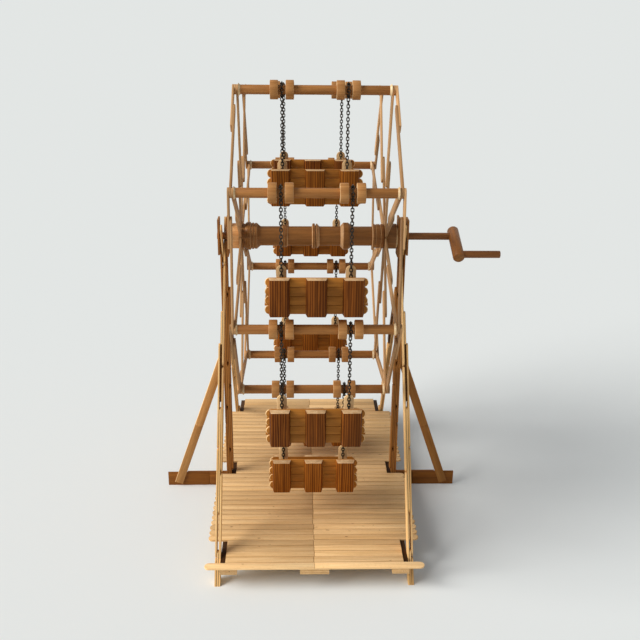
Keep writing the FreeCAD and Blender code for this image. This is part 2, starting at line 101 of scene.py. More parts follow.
# Matt paint, rolled on: an even pale ground that takes the toy's soft shadow and has no gloss.
floor_paint = bpy.data.materials.new("matt_floor_paint")
floor_paint.use_nodes = True
shader = floor_paint.node_tree.nodes["Principled BSDF"]
shader.inputs["Base Color"].default_value = paint("#E6EAEA")
shader.inputs["Roughness"].default_value = 1.0
shader.inputs["Specular IOR Level"].default_value = 0.0
floor_mesh.materials.append(floor_paint)

world = bpy.data.worlds.new("sky")
scene.world = world
world.use_nodes = True
tree = world.node_tree
sky = tree.nodes["Background"]
sky.inputs["Color"].default_value = paint("#F4F7FA")
sky.inputs["Strength"].default_value = sky_strength
backdrop = add_node(tree, "ShaderNodeBackground",
                    [("Color", paint("#E3E6E5")), ("Strength", backdrop_strength)])
ray = add_node(tree, "ShaderNodeLightPath").outputs
seen = add_node(tree, "ShaderNodeMath", [(0, ray["Is Camera Ray"]), (1, ray["Is Glossy Ray"])],
                operation="MAXIMUM")
seen = add_node(tree, "ShaderNodeMath", [(0, seen.outputs[0]), (1, ray["Is Transmission Ray"])],
                operation="MAXIMUM")
mixed = add_node(tree, "ShaderNodeMixShader",
                 [(0, seen.outputs[0]), (1, sky.outputs[0]), (2, backdrop.outputs[0])])
tree.links.new(mixed.outputs[0], tree.nodes["World Output"].inputs["Surface"])

lamp = bpy.data.objects.new("lamp", bpy.data.lights.new("lamp", "SUN"))
lamp.data.energy = lamp_strength
lamp.data.angle = lamp_spread
lamp.data.color = warm_white
lamp.matrix_world = Vector(lamp_from).to_track_quat("Z", "Y").to_matrix().to_4x4()
scene.collection.objects.link(lamp)


# Deck planks: forty rows of birch craft sticks, 2 mm thick with rounded ends, glued side by side over
# the runners and butted over the centre line. The rows beside the feet and the posts are short. All
# sizes from here on are in millimetres, until add_piece turns a finished piece to metres.
stick_wide, stick_thick = 10, 2
deck_rows, row_pitch, plank_wide = 40, 10, 9.68
deck_front, first_middle, deck_low = -198, 4.9, 24
long_reach, short_reach, seam_gap = 114, 93, 0.12
short_rows = (1, 2, 3, 4, 19, 20, 21, 36, 37, 38, 39)


def lay(origin, along, normal):
    """Where a stick lies: its line runs along, and its thickness builds up along the normal."""
    x, z = Vector(along).normalized(), Vector(normal).normalized()
    place = Matrix((x, z.cross(x), z)).transposed().to_4x4()
    place.translation = Vector(origin)
    return place


def new_batch():
    """An empty shape whose points can hold their place in the grain and their stick's tone."""
    batch = bmesh.new()
    batch.verts.layers.float_vector.new("grain")
    batch.verts.layers.float.new("tone")
    return batch


def gather(batch, part, place, rng, slot_of=None):
    """Puts one bare shape into the batch at its place, with its own grain and its own tone."""
    grain = part.verts.layers.float_vector.new("grain")
    tone = part.verts.layers.float.new("tone")
    shift = Vector([rng.uniform(0, 900) for _ in range(3)])
    shade = rng.random()
    part.normal_update()
    for vert in part.verts:
        vert[grain] = vert.co + shift
        vert[tone] = shade
    for face in part.faces:
        face.material_index = slot_of(face) if slot_of else 0
    bmesh.ops.transform(part, matrix=place, verts=part.verts)
    loose = bpy.data.meshes.new("loose")
    part.to_mesh(loose)
    part.free()
    batch.from_mesh(loose)
    bpy.data.meshes.remove(loose)


def plate(outline, ease=0.25):
    """A flat shape of that outline, as thick as a stick, with its sharp edges eased."""
    part = bmesh.new()
    face = part.faces.new([part.verts.new((x, y, 0)) for x, y in outline])
    raised = bmesh.ops.extrude_face_region(part, geom=[face])["geom"]
    raised = [v for v in raised if isinstance(v, bmesh.types.BMVert)]
    bmesh.ops.translate(part, verts=raised, vec=(0, 0, stick_thick))
    rims = [e for e in part.edges if abs(e.verts[0].co.z - e.verts[1].co.z) < 1e-6]
    bmesh.ops.bevel(part, geom=rims, offset=ease, segments=2, profile=0.5, affect="EDGES", material=-1)
    bmesh.ops.recalc_face_normals(part, faces=part.faces)
    return part


def tip(x, way, kind, half):
    """Corners of one end of a stick: round, flat, or a slanted cut given by the number of its slope."""
    if kind == "round":
        turns = [math.radians(a) for a in range(-90, 91, 15)]
        return [(x - way * half * (1 - math.cos(a)), way * half * math.sin(a)) for a in turns]
    slope = 0 if kind == "flat" else kind
    return [(x - slope * way * half, -way * half), (x + slope * way * half, way * half)]


def add_stick(batch, place, start, stop, near, far, rng, wide=stick_wide, ease=0.25, slot_of=None):
    """Puts a stick into the batch, from start to stop along its place, with those two ends."""
    outline = tip(stop, 1, far, wide / 2) + tip(start, -1, near, wide / 2)
    gather(batch, plate(outline, ease), place, rng, slot_of)


def joint_faces(below=False, above=False):
    """Picks the eased edges that meet a neighbour below or above, where dark glue has gathered."""
    def pick(face):
        eased = 0.15 < abs(face.normal.z) < 0.98
        high = face.calc_center_median().z > stick_thick / 2
        return 1 if eased and (above if high else below) else 0
    return pick


def add_piece(name, batch, finishes, body, nodes, crease=38):
    """Makes the batch one object in metres that rides on a body in place of its CAD nodes."""
    bmesh.ops.scale(batch, vec=(0.001, 0.001, 0.001), verts=batch.verts)
    mesh = bpy.data.meshes.new(name)
    batch.to_mesh(mesh)
    batch.free()
    for material in finishes:
        mesh.materials.append(material)
    mesh.shade_smooth()
    mesh.set_sharp_from_angle(angle=math.radians(crease))
    obj = bpy.data.objects.new(name, mesh)
    scene.collection.objects.link(obj)
    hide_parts(*nodes)
    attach(obj, body)


def wood(name, pale, deep, spread=0.9, pores=0.5, rough=0.62, bump=0.25, gloss=0.22, darkest=0.8,
         knots=False, rings=0.0, standing=False):
    """Wood, sawn, sanded or turned, with a tone of its own for each stick. Small dark knots and growth
    rings are extras. Dried glue takes up wood dust and is drawn the same way, and so are painted shade
    and painted highlight. A CAD piece that stays reads its place in the toy instead, and its grain stands
    upright."""
    material = bpy.data.materials.new(name)
    material.use_nodes = True
    tree = material.node_tree
    shader = tree.nodes["Principled BSDF"]
    if standing:
        place = add_node(tree, "ShaderNodeTexCoord").outputs["Object"]
        where = add_node(tree, "ShaderNodeMapping", [("Vector", place), ("Rotation", (0, math.pi / 2, 0)),
                                                     ("Scale", (1000, 1000, 1000))]).outputs[0]
    else:
        where = add_node(tree, "ShaderNodeAttribute", attribute_name="grain").outputs["Vector"]
    tone = add_node(tree, "ShaderNodeAttribute", attribute_name="tone").outputs["Fac"]

    def streaks(along, across, detail, wander=0.0):
        """Marks drawn out along the grain, so many in each millimetre along and across it."""
        scaled = add_node(tree, "ShaderNodeMapping", [("Vector", where), ("Scale", (along, across, across))])
        return add_node(tree, "ShaderNodeTexNoise",
                        [("Vector", scaled.outputs[0]), ("Scale", 1.0), ("Detail", detail),
                         ("Roughness", 0.55), ("Distortion", wander)]).outputs["Fac"]

    # Bands are about 4.5 mm wide and 80 mm long, fine lines half a millimetre wide, and knots 2 mm long.
    # Real pores are finer than the specks of 0.2 by 4.5 mm drawn here, and wouldn't show.
    bands = streaks(0.012, 0.22, 3.0, 0.4)
    lines = streaks(0.03, 1.9, 4.0)
    specks = streaks(0.22, 5.5, 1.0)
    clear = paint("#FFFFFF")
    marks = [(lines, 0.6, (0.36, paint("#DDD4CB")), (0.62, clear)),
             (specks, pores, (0.3, paint("#C4B5AA")), (0.42, clear))]
    if knots:
        marks.append((streaks(0.16, 0.5, 0.0), 1.0, (0.13, paint("#95795D")), (0.17, clear)))
    if rings:
        ring_wide, bend = 2.4, 4.5
        across = add_node(tree, "ShaderNodeSeparateXYZ", [(0, where)]).outputs[1]
        bent = add_node(tree, "ShaderNodeMath", [(0, streaks(0.012, 0.26, 2.0)), (1, bend), (2, across)],
                        operation="MULTIPLY_ADD").outputs[0]
        wave = add_node(tree, "ShaderNodeMath", [(0, bent), (1, 2 * math.pi / ring_wide)],
                        operation="MULTIPLY").outputs[0]
        wave = add_node(tree, "ShaderNodeMath", [(0, wave)], operation="SINE").outputs[0]
        depth = add_node(tree, "ShaderNodeMapRange", [(0, tone), (3, 0.6 * rings), (4, rings)]).outputs[0]
        marks.append((wave, depth, (0.0, paint("#957C5D")), (0.62, clear)))
    # A stick's tone multiplies its colour: a dark stick is warmer too, and a light one is paler.
    dark_stick, light_stick = (darkest, darkest * 0.96, darkest * 0.91, 1), (1.08, 1.07, 1.05, 1)
    marks.append((tone, 1.0, (0.0, dark_stick), (1.0, light_stick)))

    body = ((0.5 - spread * 0.3, paint(deep)), (0.5 + spread * 0.25, paint(pale)))
    colour = add_node(tree, "ShaderNodeValToRGB", [(0, bands)], stops=body).outputs[0]
    for source, strength, *stops in marks:
        mark = add_node(tree, "ShaderNodeValToRGB", [(0, source)], stops=stops).outputs[0]
        colour = add_node(tree, "ShaderNodeMix", [(0, strength), (6, colour), (7, mark)], data_type="RGBA",
                          blend_type="MULTIPLY").outputs[2]
    tree.links.new(colour, shader.inputs["Base Color"])
    dull = add_node(tree, "ShaderNodeMapRange", [(0, lines), (3, rough - 0.07), (4, rough + 0.1)])
    tree.links.new(dull.outputs[0], shader.inputs["Roughness"])
    shader.inputs["Specular IOR Level"].default_value = gloss
    rise = add_node(tree, "ShaderNodeBump", [("Strength", bump), ("Distance", 0.0003), ("Height", lines)])
    tree.links.new(rise.outputs[0], shader.inputs["Normal"])
    return material


# Birch, sanded and left bare: creamy tan with faint bands and now and then a small dark knot.
deck_wood = wood("birch_deck_sticks", "#F2CE9A", "#DDB278", pores=0.45, knots=True)
# Birch edges with old glue and dust in them: a thin, dull, browner line along each joint.
joint_wood = wood("grimy_joint_edge", "#E0B680", "#A87C4A", spread=0.6, gloss=0.1)
# Newer birch, sanded and left bare: the palest sticks of the toy, nearly cream.
# It also paints the highlight on the left brace's lit edge.
pale_wood_and_highlight = wood("pale_birch_and_painted_highlight", "#FFE0AC", "#F8C88A", knots=True)
rng = random.Random(11)
batch = new_batch()
for row in range(deck_rows):
    reach = short_reach if row in short_rows else long_reach
    far = "flat" if reach == short_reach else "round"
    middle = deck_front + first_middle + row * row_pitch
    seam = rng.uniform(-0.7, 0.7)
    slot_of = (lambda face: 2) if row == 0 else joint_faces(above=True)
    for way in (1, -1):
        place = lay((0, middle + rng.uniform(-0.04, 0.04), deck_low - rng.uniform(0, 0.06)), (way, 0, 0),
                    (0, 0, 1))
        add_stick(batch, place, seam_gap + way * seam, reach + rng.uniform(-0.5, 0), "flat", far, rng,
                  wide=plank_wide, ease=0.3, slot_of=slot_of)
    if row == 0:
        # The front row is drawn in the pale wood all over, and none of its sticks is darkened.
        tone = batch.verts.layers.float["tone"]
        for vert in batch.verts:
            vert[tone] = 1.0
add_piece("deck_sticks", batch, [deck_wood, joint_wood, pale_wood_and_highlight], "frame", ["deck_planks"])


# Deck runners: three strips of broad sticks stacked three deep under the planks, one at each side
# and one along the centre, their ends cut square at the front and the back. Their tops carry painted shade.
runner_low, runner_end, runner_layers = 18, 399.8, 3
first_joint, joint_step, end_step, butt_gap = 150, 40, 0.4, 0.2
# Painted shade on the tops of the birch runners: nearly black, as in the notches beside the feet.
runner_shade_top = wood("painted_shade_runner_top", "#4A3018", "#2E1C0E", gloss=0.1)
rng = random.Random(12)
batch = new_batch()
for middle, wide in ((89, 18), (-89, 18), (0, 30)):
    for layer in range(runner_layers):
        place = lay((middle, deck_front, runner_low + stick_thick * layer), (0, 1, 0), (0, 0, 1))
        joint = first_joint + joint_step * ((layer * 2) % 3)
        for start, stop in ((butt_gap + end_step * layer, joint), (joint + butt_gap, runner_end)):
            # The top face of the top layer takes the painted shade.
            add_stick(batch, place, start, stop, "flat", "flat", rng, wide=wide,
                      slot_of=lambda face: 1 if layer == runner_layers - 1 and face.normal.z > 0.5 else 0)
add_piece("runner_strips", batch, [deck_wood, runner_shade_top], "frame", ["deck_runners"])


# Cross beams and outriggers: broad boards on edge below the runners. The back board goes on outward
# as the outriggers, with a splice board glued behind each joint.
sides = (("right", 1), ("left", -1))
board_wide, board_middle = 18, 9
front_board, back_board, splice_board = 1, 11, 13
# Birch with a dark brown stain, sanded: the darkest boards, with little contrast in the grain.
board_wood = wood("aged_brown_boards", "#965D1D", "#713F0C")
rng = random.Random(13)
batch = new_batch()
for back, half in ((front_board, 98), (back_board, 110)):
    add_stick(batch, lay((0, back, board_middle), (1, 0, 0), (0, -1, 0)), -half, half, "flat", "flat", rng,
              wide=board_wide)
add_piece("cross_boards", batch, [board_wood], "frame", ["cross_beams"])
for name, way in sides:
    batch = new_batch()
    for back, start, stop in ((back_board, 110.2, 127), (back_board, 127.3, 178), (splice_board, 66, 154)):
        add_stick(batch, lay((0, back, board_middle), (way, 0, 0), (0, -1, 0)), start, stop, "flat", "flat",
                  rng, wide=board_wide)
    add_piece(f"{name}_outrigger_boards", batch, [board_wood], "frame", [f"{name}_outrigger"])


# Legs: craft sticks laid end to end in three glued layers that cross below the axle, with their feet
# cut level on the table. The joints of the layers are staggered, and one stick of the middle layer is
# narrower and set back, painted dark all over as shade.
foot_reach, cross_high, past_cross = 187, 306, 40.4
shade_strip_start, shade_strip_wide = 190, 8
slope = foot_reach / cross_high
lean = math.atan(slope)
leg_total = cross_high / math.cos(lean) + past_cross
# Birch yellowed by a clear oil: pale honey, with soft bands.
frame_wood = wood("honey_frame_sticks", "#F6D096", "#DCAA64", pores=0.4)
# Dark glue that has dried in the joints: thin dull brown lines between the layers. The same colour
# is the painted shade on the set-back leg sticks.
glue_and_shade_line = wood("dark_glue_and_painted_shade", "#66421E", "#442A12", pores=0.3, gloss=0.1)
rng = random.Random(14)
for name, way in sides:
    for end, front in (("front", -1), ("back", 1)):
        batch = new_batch()
        cut = front * slope
        main, short = (98, 100) if front < 0 else (100, 98)
        # Each layer has its depth, out from the toy's middle, and its sticks: start, stop and both ends.
        layers = (
            (main, ((0, 113.8, cut, "round"), (114, 227.8, "round", "round"),
                    (228, 341.8, "round", "round"), (342, leg_total, "round", "round"))),
            (short, ((0, 34, cut, "round"), (70, 184, "round", "round"),
                     (shade_strip_start, 252, "flat", "flat"), (252.2, 290, "flat", "round"))),
            (102, ((0, 25.8, cut, "round"), (26, 139.8, "round", "round"), (140, 254, "round", "round"))),
        )
        for depth, sticks in layers:
            low = depth if way > 0 else -depth - stick_thick
            place = lay((low, front * foot_reach, 0), (0, -front * math.sin(lean), math.cos(lean)),
                        (1, 0, 0))
            inner, outer = depth > 98, depth < 102
            glued = joint_faces(inner, outer) if way > 0 else joint_faces(outer, inner)
            for start, stop, near, far in sticks:
                # The set-back stick is painted all over in the dark glue colour, as shade.
                shade_strip = start == shade_strip_start
                add_stick(batch, place, start, stop, near, far, rng,
                          wide=shade_strip_wide if shade_strip else stick_wide,
                          slot_of=(lambda face: 1) if shade_strip else glued)
        add_piece(f"{name}_{end}_leg_sticks", batch, [frame_wood, glue_and_shade_line], "frame",
                  [f"{name}_{end}_leg"])


# Posts: upright craft sticks in four glued layers with a short pad inside, standing on the table
# beside the runners. The two middle layers stop below the place where the legs cross.
post_top, half_wide, below_cross = 319, stick_wide / 2, 0.5
middle_top = cross_high - (half_wide + half_wide / math.cos(lean)) / slope - below_cross
# Older birch, darkened by oil and handling: a warm tan brown.
post_wood = wood("tan_post_sticks", "#B67C3C", "#885420", pores=0.45)
layers = (
    (96, ((28, 141.8, "round", "round"), (142, 255.8, "round", "round"), (256, post_top, "round", "flat"))),
    (98, ((0, 56.8, "flat", "round"), (57, 170.8, "round", "round"), (171, middle_top, "round", "flat"))),
    (100, ((0, 113.8, "flat", "round"), (114, 227.8, "round", "round"), (228, middle_top, "round", "flat"))),
    (102, ((0, 91, "flat", "round"), (91.2, 205, "round", "round"), (205.2, post_top, "round", "flat"))),
    (94, ((207, 264, "flat", "round"),)),
)
rng = random.Random(15)
for name, way in sides:
    batch = new_batch()
    for depth, sticks in layers:
        place = lay((depth if way > 0 else -depth - stick_thick, 0, 0), (0, 0, 1), (1, 0, 0))
        inner, outer = depth > 94, depth < 102
        glued = joint_faces(inner, outer) if way > 0 else joint_faces(outer, inner)
        for start, stop, near, far in sticks:
            add_stick(batch, place, start, stop, near, far, rng, slot_of=glued)
    add_piece(f"{name}_post_sticks", batch, [post_wood, glue_and_shade_line], "frame", [f"{name}_post"])


# Bearing plates: short lengths of broad stick glued inside and outside each side frame and bored for
# the axle. They are of the posts' darkened birch, and look a shade lighter, with the grain upright.
plate_wood = wood("tan_bearing_plates", "#BE8648", "#905C2A", pores=0.45, standing=True)
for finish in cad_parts["bearing_plates"].material_slots:
    finish.material = plate_wood


# Braces: two lapped craft sticks on each side that lean from the outrigger up to the post, cut square
# at the foot. The left pair is painted paler as lit, with its left edge painted as a highlight.
brace_foot, brace_low, brace_lean = 165, 4, math.radians(19.2)
# Birch, oiled and darkened: plain brown with a soft grain.
brace_wood = wood("aged_brown_sticks", "#B88040", "#8C5A22")
# The same birch painted paler, as lit from the left: tan, with the grain clearer.
lit_brace_wood = wood("painted_lit_brace_sticks", "#D29C5E", "#AC783E")
rng = random.Random(16)
for name, way in sides:
    batch = new_batch()
    along = (-way * math.sin(brace_lean), 0, math.cos(brace_lean))
    # The left brace's edge that faces the lamp takes the pale wood as a painted highlight.
    lit_edge = (lambda face: 0) if way > 0 else (lambda face: 1 if face.normal.y > 0.25 else 0)
    for back, start, stop, near in ((9, 0, 114, "flat"), (7, 84, 198, "round")):
        add_stick(batch, lay((way * brace_foot, back, brace_low), along, (0, -1, 0)), start, stop, near,
                  "round", rng, ease=0.5, slot_of=lit_edge)
    add_piece(f"{name}_brace_sticks", batch, [brace_wood if way > 0 else lit_brace_wood, pale_wood_and_highlight],
              "frame", [f"{name}_brace"])


# Wheel sides: on each side eight spokes of two lapped craft sticks, the inner ones pointed to meet at
# the axle, and an eight-sided rim of a full stick and a short one glued over it between each two rungs.
rung_count, rung_reach, first_turn, axle = 8, 171, 28.5, 324
wheel_layers = (81, 79, 77)
spoke_start, spoke_stop, point_start, point_stop, point_gap = 62, 176, 4.3, 92, 0.2
rim_past, rim_stop, patch_start = 5, 109, 79
hub = Vector((0, 0, axle))
rung_at = []
for k in range(rung_count):
    turn = math.radians(first_turn + 360 / rung_count * k)
    rung_at.append(Vector((0, -rung_reach * math.cos(turn), axle + rung_reach * math.sin(turn))))
half_slope = math.tan(math.radians(180 / rung_count))
shoulder, point_wide = half_wide / half_slope + 2 * point_gap, point_start * half_slope - point_gap
point = [(shoulder, half_wide), (point_start, point_wide), (point_start, -point_wide), (shoulder, -half_wide)]
# Oiled birch of mixed age: honey brown, and each stick differs clearly from its neighbours.
wheel_wood = wood("honey_wheel_sticks", "#DFB482", "#AE7E4C", pores=0.4, darkest=0.5)
rng = random.Random(17)
for name, way in sides:
    spokes, rims = new_batch(), new_batch()
    outer, middle, inner = [Vector((depth if way > 0 else -depth - stick_thick, 0, 0))
                            for depth in wheel_layers]
    for k in range(rung_count):
        out = (rung_at[k] - hub).normalized()
        add_stick(spokes, lay(hub + inner, out, (1, 0, 0)), spoke_start, spoke_stop, "round", "round", rng)
        gather(spokes, plate(tip(point_stop, 1, "round", half_wide) + point, 0.15),
               lay(hub + middle, out, (1, 0, 0)), rng)
        edge = rung_at[(k + 1) % rung_count] - rung_at[k]
        add_stick(rims, lay(rung_at[k] + middle, edge, (1, 0, 0)), -rim_past, rim_stop, "round", "round", rng)
        add_stick(rims, lay(rung_at[k] + outer, edge, (1, 0, 0)), patch_start, edge.length + rim_past,
                  "flat", "round", rng)
    add_piece(f"{name}_spoke_sticks", spokes, [wheel_wood], "wheel", [f"{name}_spokes"])
    add_piece(f"{name}_rim_sticks", rims, [wheel_wood], "wheel", [f"{name}_rim"])


# Rungs: eight plain birch dowels between the rims, warm orange-brown and lightly oiled. A bead of pale
# dried glue goes round each end.
rung_end, rung_radius, bead_low = 77, 4.75, 4.6


def turned(stations, steps=40):
    """A shape of that outline, x along and r out, spun about the X axis."""
    part = bmesh.new()
    verts = [part.verts.new((x, 0, r)) for x, r in stations]
    edges = [part.edges.new(pair) for pair in zip(verts, verts[1:])]
    bmesh.ops.spin(part, geom=verts + edges, axis=(1, 0, 0), cent=(0, 0, 0), steps=steps,
                   angle=2 * math.pi, use_merge=True)
    bmesh.ops.remove_doubles(part, verts=part.verts, dist=1e-4)
    bmesh.ops.recalc_face_normals(part, faces=part.faces)
    return part


def peg(low, high, radius, ease=0.4):
    """Outline of a dowel with eased ends."""
    return [(low, 0), (low, radius - ease), (low + ease * 0.3, radius - ease * 0.3), (low + ease, radius),
            (high - ease, radius), (high - ease * 0.3, radius - ease * 0.3), (high, radius - ease), (high, 0)]


# Turned birch, oiled: orange-brown, with a soft sheen along the top of each dowel.
rung_wood = wood("oiled_orange_dowel", "#BE8448", "#925E2C", rough=0.5)
# Wood glue, dried in beads: cream, and smoother than the wood.
glue = wood("dried_wood_glue", "#F2DFBC", "#D2AE78", rough=0.45)
rng = random.Random(18)
batch = new_batch()
for at in rung_at:
    gather(batch, turned(peg(-rung_end, rung_end, rung_radius)), Matrix.Translation(at), rng)
    for way in (1, -1):
        swell = rng.uniform(0.8, 1.2)
        bead = ((rung_end, bead_low), (rung_end, rung_radius + 1.5 * swell),
                (rung_end - 0.4, rung_radius + 1.4 * swell),
                (rung_end - 1.3 * swell, rung_radius + 0.5 * swell),
                (rung_end - 2.2 * swell, bead_low), (rung_end, bead_low))
        gather(batch, turned([(way * x, r) for x, r in bead], 20), Matrix.Translation(at), rng,
               lambda face: 1)
add_piece("rung_dowels", batch, [rung_wood, glue], "wheel", ["rungs"])


# Rung collars: slices of a bored birch dowel, two pairs on each rung, that keep the chains in place.
# The turned face is warm brown and the sawn faces are paler.
collar_middles = (-41.3, -25.5, 25.5, 41.3)
half, ease, bore, collar_radius = 4.1, 0.55, 4.85, 9.6
# Turned birch, oiled: warm brown and a little rougher than the rungs.
collar_wood = wood("sliced_dowel_collars", "#CA945A", "#A46E38", rough=0.55)
# Birch end grain, sawn and left bare: pale, dry and coarse, with open pores.
sawn_wood = wood("sawn_end_grain", "#E6C698", "#C89E6C", spread=0.7, pores=0.6, rough=0.75, bump=0.4)
rng = random.Random(19)
batch = new_batch()
for at in rung_at:
    for middle in collar_middles:
        outer = collar_radius + rng.uniform(-0.15, 0.1)
        ring = [(-half, bore), (-half, outer - ease), (-half + ease * 0.3, outer - ease * 0.3),
                (-half + ease, outer), (half - ease, outer), (half - ease * 0.3, outer - ease * 0.3),
                (half, outer - ease), (half, bore), (-half, bore)]
        gather(batch, turned(ring, 32), Matrix.Translation(at + Vector((middle, 0, 0))), rng,
               lambda face: 1 if abs(face.normal.x) > 0.9 else 0)
add_piece("collar_rings", batch, [collar_wood, sawn_wood], "wheel", ["rung_collars"])


# Spindle: one piece of birch turned on a lathe, with a bead at each end, small rings and a bulb. It is
# mid brown under an old oil finish, with a painted highlight on the shoulders.
outline = [
    (-79, 0), (-79, 13.2), (-78.6, 13.6), (-75.2, 13.6), (-74.8, 14.4), (-73.4, 15.3), (-72.8, 15.5),
    (-69.8, 15.5), (-69.4, 15.1), (-69.2, 14.1), (-68.4, 14), (-68.1, 14.6), (-66.2, 14.7), (-65.8, 13.9),
    (-65, 13.7), (-64.7, 14.4), (-62.6, 14.4), (-62.2, 13.9), (-59.2, 11.2), (-58.2, 10.75),
    (-34.9, 10.75), (-34.8, 11.9), (-34.3, 12.4), (-32.1, 12.5), (-31.7, 12), (-31.1, 12.4), (-29.3, 12),
    (-28.1, 10.75), (-1.6, 10.75), (-1.4, 12.2), (-0.9, 13.7), (-0.5, 14), (1.3, 14), (1.7, 13.6),
    (1.9, 11.8), (2.6, 11.8), (2.8, 13.2), (3.2, 13.7), (4.3, 13.6), (4.8, 13), (6.9, 10.75), (30, 10.75),
    (30.2, 11.4), (33.2, 14.7), (33.7, 15), (38.6, 15), (39.2, 14.6), (44.6, 11), (45.4, 10.75),
    (65.4, 10.75), (65.6, 12.9), (66.2, 13.6), (68.2, 13.7), (68.6, 12.9), (69.4, 12.8), (69.8, 13.3),
    (73.4, 13.5), (73.8, 12.8), (74.6, 12.8), (75, 13.6), (77.6, 13.6), (79, 12.6), (79, 0)]
# Turned birch under old oil: mid brown, with a low sheen.
spindle_wood = wood("oiled_brown_spindle", "#9C6A38", "#764C22", pores=0.55, rough=0.48)
# The same wood painted pale on every steep shoulder, as a highlight where light grazes them.
shoulder_highlight_wood = wood("painted_highlight_spindle_shoulder", "#D8AE7E", "#B4865A", pores=0.6, rough=0.55)
batch = new_batch()
gather(batch, turned(outline, 64), Matrix.Translation(hub), random.Random(20),
       lambda face: 1 if abs(face.normal.x) > 0.7 else 0)
add_piece("turned_spindle", batch, [spindle_wood, shoulder_highlight_wood], "wheel", ["spindle"],
          crease=18)


# Axle ends and hub collars: a birch dowel in each end of the spindle runs in the bearing plates, with
# a sliced collar between the spokes and the plates. The left collar's turned face is painted pale as
# lit, and the right one's is painted dark as shade.
axle_radius, spindle_end, left_end, crank_end = 4, 79, -107, 161
hub_low, hub_high, hub_bore, hub_radius = 81, 93.5, 4.1, 14
# Turned birch, oiled often by the hand that cranks it: deep brown and smoother than the rest.
dark_wood = wood("oiled_brown_dowel", "#9E6632", "#6C421C", rough=0.42)
# Painted light on the left collar's turned face: pale, as lit from the left.
lit_hub_wood = wood("painted_lit_hub_face", "#FFCC90", "#E6A666", pores=0.4, rough=0.6)
rng = random.Random(21)
batch = new_batch()
gather(batch, turned(peg(left_end, -spindle_end, axle_radius, 0.5)), Matrix.Translation(hub), rng)
add_piece("left_axle_dowel", batch, [rung_wood], "wheel", ["axle_pin"])
batch = new_batch()
gather(batch, turned(peg(spindle_end, crank_end, axle_radius, 0.3)), Matrix.Translation(hub), rng)
add_piece("crank_axle_dowel", batch, [dark_wood], "wheel", ["crank_shaft"])
batch = new_batch()
# The right collar's turned face takes the dark spindle wood as painted shade.
for low, high, hub_shading_slot in ((-hub_high, -hub_low, 0), (hub_low, hub_high, 2)):
    ring = [(low, hub_bore), (low, hub_radius - 0.8), (low + 0.3, hub_radius - 0.3), (low + 1, hub_radius),
            (high - 1.6, hub_radius), (high - 0.8, hub_radius - 0.5), (high, hub_radius - 1.3),
            (high, hub_bore), (low, hub_bore)]
    gather(batch, turned(ring, 48), Matrix.Translation(hub), rng,
           lambda face: 1 if abs(face.normal.x) > 0.4 else hub_shading_slot)
add_piece("hub_rings", batch, [lit_hub_wood, sawn_wood, spindle_wood], "wheel", ["hub_collars"])


# Crank: a thick birch dowel glued across the end of the axle, with a thinner dowel as its handle. Both
# are deep brown, oiled and eased at the ends.
arm_turn, arm_middle, arm_past_axle = math.radians(20), 158, 12
handle_start, handle_stop, handle_radius, handle_out = 155, 203.9, 4, 34
arm = [(0, 0), (0, 4.6), (0.5, 5.7), (1.6, 6.35), (51.4, 6.35), (52.5, 5.7), (53, 4.6), (53, 0)]
across = Vector((0, -math.cos(arm_turn), -math.sin(arm_turn)))
rng = random.Random(22)
batch = new_batch()
place = lay(Vector((arm_middle, 0, axle)) - across * arm_past_axle, across, (1, 0, 0))
gather(batch, turned(arm, 48), place, rng, lambda face: 1 if abs(face.normal.x) > 0.95 else 0)
add_piece("crank_arm_dowel", batch, [dark_wood, spindle_wood], "wheel", ["crank_arm"])
batch = new_batch()
gather(batch, turned(peg(handle_start, handle_stop, handle_radius, 0.5)),
       Matrix.Translation(hub + across * handle_out), rng)
add_piece("crank_handle_dowel", batch, [dark_wood], "wheel", ["crank_handle"])


# Seats: on each rung hangs a seat with a back wall of four craft sticks, an apron of two, a bench and
# two upright tabs that the chains are fixed to. The sticks are stained, with bare edges at their ends.
seat_low, seat_rise, seat_half, seat_stick_wide = -112.4, 9.1, 49, 8.9
tab_side, tab_high, apron_high, bench_low = 33.4, 41.9, 15, 8
# The wall, the apron and the tabs are placed by their far faces. The bench leaves a slot for the tabs.
wall_at, apron_at, tab_at = -18, 20, 3.2
bench_sticks = ((-18, -8.4), (-8.4, 1.2), (3.2, 10.6), (10.6, 18))
# Birch with an orange-brown stain: even colour, the grain just showing.
seat_wood = wood("tan_seat_sticks", "#C58232", "#9A601A", pores=0.4)
for number, at in enumerate(rung_at, 1):
    rng = random.Random(30 + number)
    batch = new_batch()
    for rows, y in ((4, wall_at), (2, apron_at)):
        for k in range(rows):
            place = lay(at + Vector((0, y, seat_low + seat_rise * (k + 0.5))), (1, 0, 0), (0, -1, 0))
            add_stick(batch, place, -seat_half + rng.uniform(0, 0.5), seat_half - rng.uniform(0, 0.5),
                      "round", "round", rng, wide=seat_stick_wide, ease=0.55,
                      slot_of=lambda face: 1 if abs(face.normal.x) > 0.25 else 0)
    for start, stop in bench_sticks:
        place = lay(at + Vector((0, (start + stop) / 2, seat_low + bench_low)), (1, 0, 0), (0, 0, 1))
        add_stick(batch, place, -seat_half, seat_half, "flat", "flat", rng, wide=stop - start - 0.1)
    for x in (-tab_side, tab_side):
        add_stick(batch, lay(at + Vector((x, tab_at, seat_low)), (0, 0, 1), (0, -1, 0)), 0, tab_high,
                  "flat", "round", rng, slot_of=lambda face: 1)
    add_piece(f"seat_{number}_sticks", batch, [seat_wood, pale_wood_and_highlight], f"hanger_{number}",
              [f"seat_{number}"])


# Seat battens: three blocks across the wall and three short ones across the apron, sawn from brown
# stained softwood with slanted sides. Growth lines show as upright stripes, and the tops are bare.
batten_side, batten_deep, batten_foot, batten_face = 35, 8.5, 10.25, 8.7
batten_shades = (0, 1, 0, 1, 2, 1, 2, 0)
